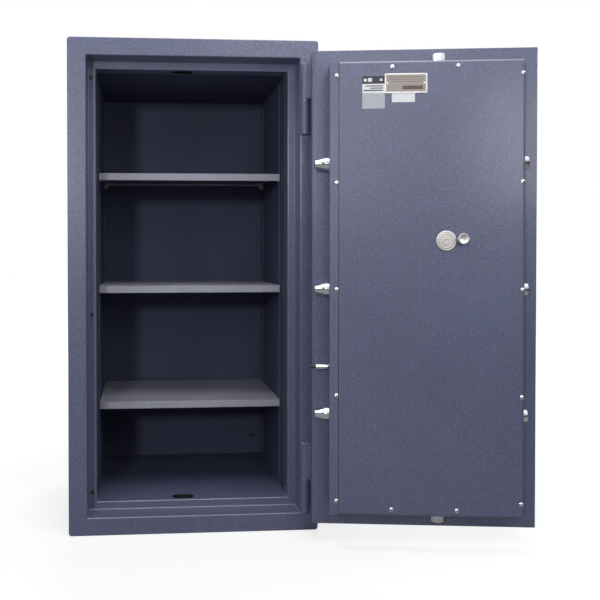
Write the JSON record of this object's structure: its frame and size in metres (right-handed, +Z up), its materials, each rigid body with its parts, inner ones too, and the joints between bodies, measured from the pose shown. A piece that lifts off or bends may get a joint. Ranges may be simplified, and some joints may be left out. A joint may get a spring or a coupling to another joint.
{
  "type": "safe",
  "caption": "Upright steel burglary and fire safe, thick door standing open on lift-off hinges, round sliding bolts, combination lock, shelves inside.",
  "frame": {"origin": "middle of the safe body's underside; the open door hangs outside this footprint", "axes": "+Z up, +X to the hinge side (right when facing the safe), -Y the front where the door opens"},
  "size_m": [1.5583, 1.0324, 1.716],
  "materials": {
    "slate_paint": "fine textured slate blue-grey enamel",
    "interior_paint": "smooth darker slate paint",
    "shelf_paint": "light grey enamel",
    "chrome": "bright turned chrome",
    "plain_steel": "plain machined steel",
    "brushed_steel": "satin brushed steel",
    "barrier_fill": "rough cement-like fire and drill barrier",
    "black_plastic": "satin black",
    "bronze": "dull bearing bronze"
  },
  "bodies": {
    "case": {"outer_shell": "slate_paint", "back_plate": "slate_paint", "front_frame": "slate_paint", "barrier_fill": "barrier_fill", "inner_liner": "interior_paint", "hinge_lower_knuckle_top": "slate_paint", "hinge_lower_knuckle_bottom": "slate_paint", "top_strike": "slate_paint", "bottom_strike": "slate_paint", "thrust_washer_top": "bronze", "thrust_washer_bottom": "bronze", "standard_left_front": "interior_paint", "standard_left_rear": "interior_paint", "standard_right_front": "interior_paint", "standard_right_rear": "interior_paint", "shelf_upper": "shelf_paint", "clip_upper_left_front": "brushed_steel", "clip_upper_left_rear": "brushed_steel", "clip_upper_right_front": "brushed_steel", "clip_upper_right_rear": "brushed_steel", "shelf_middle": "shelf_paint", "clip_middle_left_front": "brushed_steel", "clip_middle_left_rear": "brushed_steel", "clip_middle_right_front": "brushed_steel", "clip_middle_right_rear": "brushed_steel", "shelf_lower": "shelf_paint", "clip_lower_left_front": "brushed_steel", "clip_lower_left_rear": "brushed_steel", "clip_lower_right_front": "brushed_steel", "clip_lower_right_rear": "brushed_steel", "cable_hole_plug": "black_plastic"},
    "door": {"door_pan": "slate_paint", "door_back_plate": "slate_paint", "hinge_upper_knuckle_top": "slate_paint", "hinge_upper_knuckle_bottom": "slate_paint", "bolt_box": "slate_paint", "cover_panel": "slate_paint", "hinge_side_strip": "slate_paint", "door_fill": "barrier_fill", "fixed_bolt_upper": "chrome", "fixed_bolt_middle": "chrome", "fixed_bolt_lower": "chrome", "plunger_sleeve": "chrome", "nameplate": "brushed_steel", "lock_case": "brushed_steel", "dial_ring": "brushed_steel", "key_hole_cover": "brushed_steel"},
    "handle": {"spoke_handle": "chrome", "handle_spindle": "plain_steel"},
    "bolt_bar": {"bolt_bar": "plain_steel", "live_bolt_upper": "chrome", "live_bolt_middle": "chrome", "live_bolt_lower": "chrome"},
    "top_bolt": {"top_bolt": "chrome"},
    "bottom_bolt": {"bottom_bolt": "chrome"},
    "dial": {"dial": "black_plastic", "lock_spindle": "bronze"},
    "lock_bolt": {"lock_bolt": "bronze"},
    "plunger": {"relocker_plunger": "black_plastic"},
    "thumb_knob": {"thumb_knob": "chrome"}
  },
  "joints": [
    {"name": "door_swing", "type": "hinge", "parent": "case", "child": "door", "pos_m": [0.384, -0.3955, 0.85], "axis": [0, 0, 1], "range_deg": [-172.55, 7.4]},
    {"name": "handle_turn", "type": "hinge", "parent": "door", "child": "handle", "pos_m": [0.80035, -0.43532, 0.858], "axis": [0.1297, 0.9916, 0], "range_deg": [0, 90]},
    {"name": "bolt_bar_slide", "type": "slide", "parent": "door", "child": "bolt_bar", "axis": [0.9916, -0.1297, 0], "range_m": [0, 0.0401]},
    {"name": "top_bolt_slide", "type": "slide", "parent": "door", "child": "top_bolt", "axis": [0, 0, 1], "range_m": [0, 0.0401]},
    {"name": "bottom_bolt_slide", "type": "slide", "parent": "door", "child": "bottom_bolt", "axis": [0, 0, -1], "range_m": [0, 0.0401]},
    {"name": "dial_turn", "type": "hinge", "parent": "door", "child": "dial", "pos_m": [0.8182, -0.43766, 1.015], "axis": [0.1297, 0.9916, 0], "continuous": true},
    {"name": "lock_bolt_slide", "type": "slide", "parent": "door", "child": "lock_bolt", "axis": [0, 0, -1], "range_m": [0, 0.009]},
    {"name": "plunger_slide", "type": "slide", "parent": "door", "child": "plunger", "axis": [0.9916, -0.1297, 0], "range_m": [0, 0.012], "stiffness_N_per_m": 150},
    {"name": "thumb_knob_turn", "type": "hinge", "parent": "door", "child": "thumb_knob", "pos_m": [0.84314, -0.63253, 1.021], "axis": [-0.1297, -0.9916, 0], "range_deg": [-175, 175]}
  ],
  "couplings": [
    {"joint": "bolt_bar_slide", "follows": "handle_turn", "m_per_rad": 0.025465},
    {"joint": "top_bolt_slide", "follows": "handle_turn", "m_per_rad": 0.025465},
    {"joint": "bottom_bolt_slide", "follows": "handle_turn", "m_per_rad": 0.025465}
  ]
}
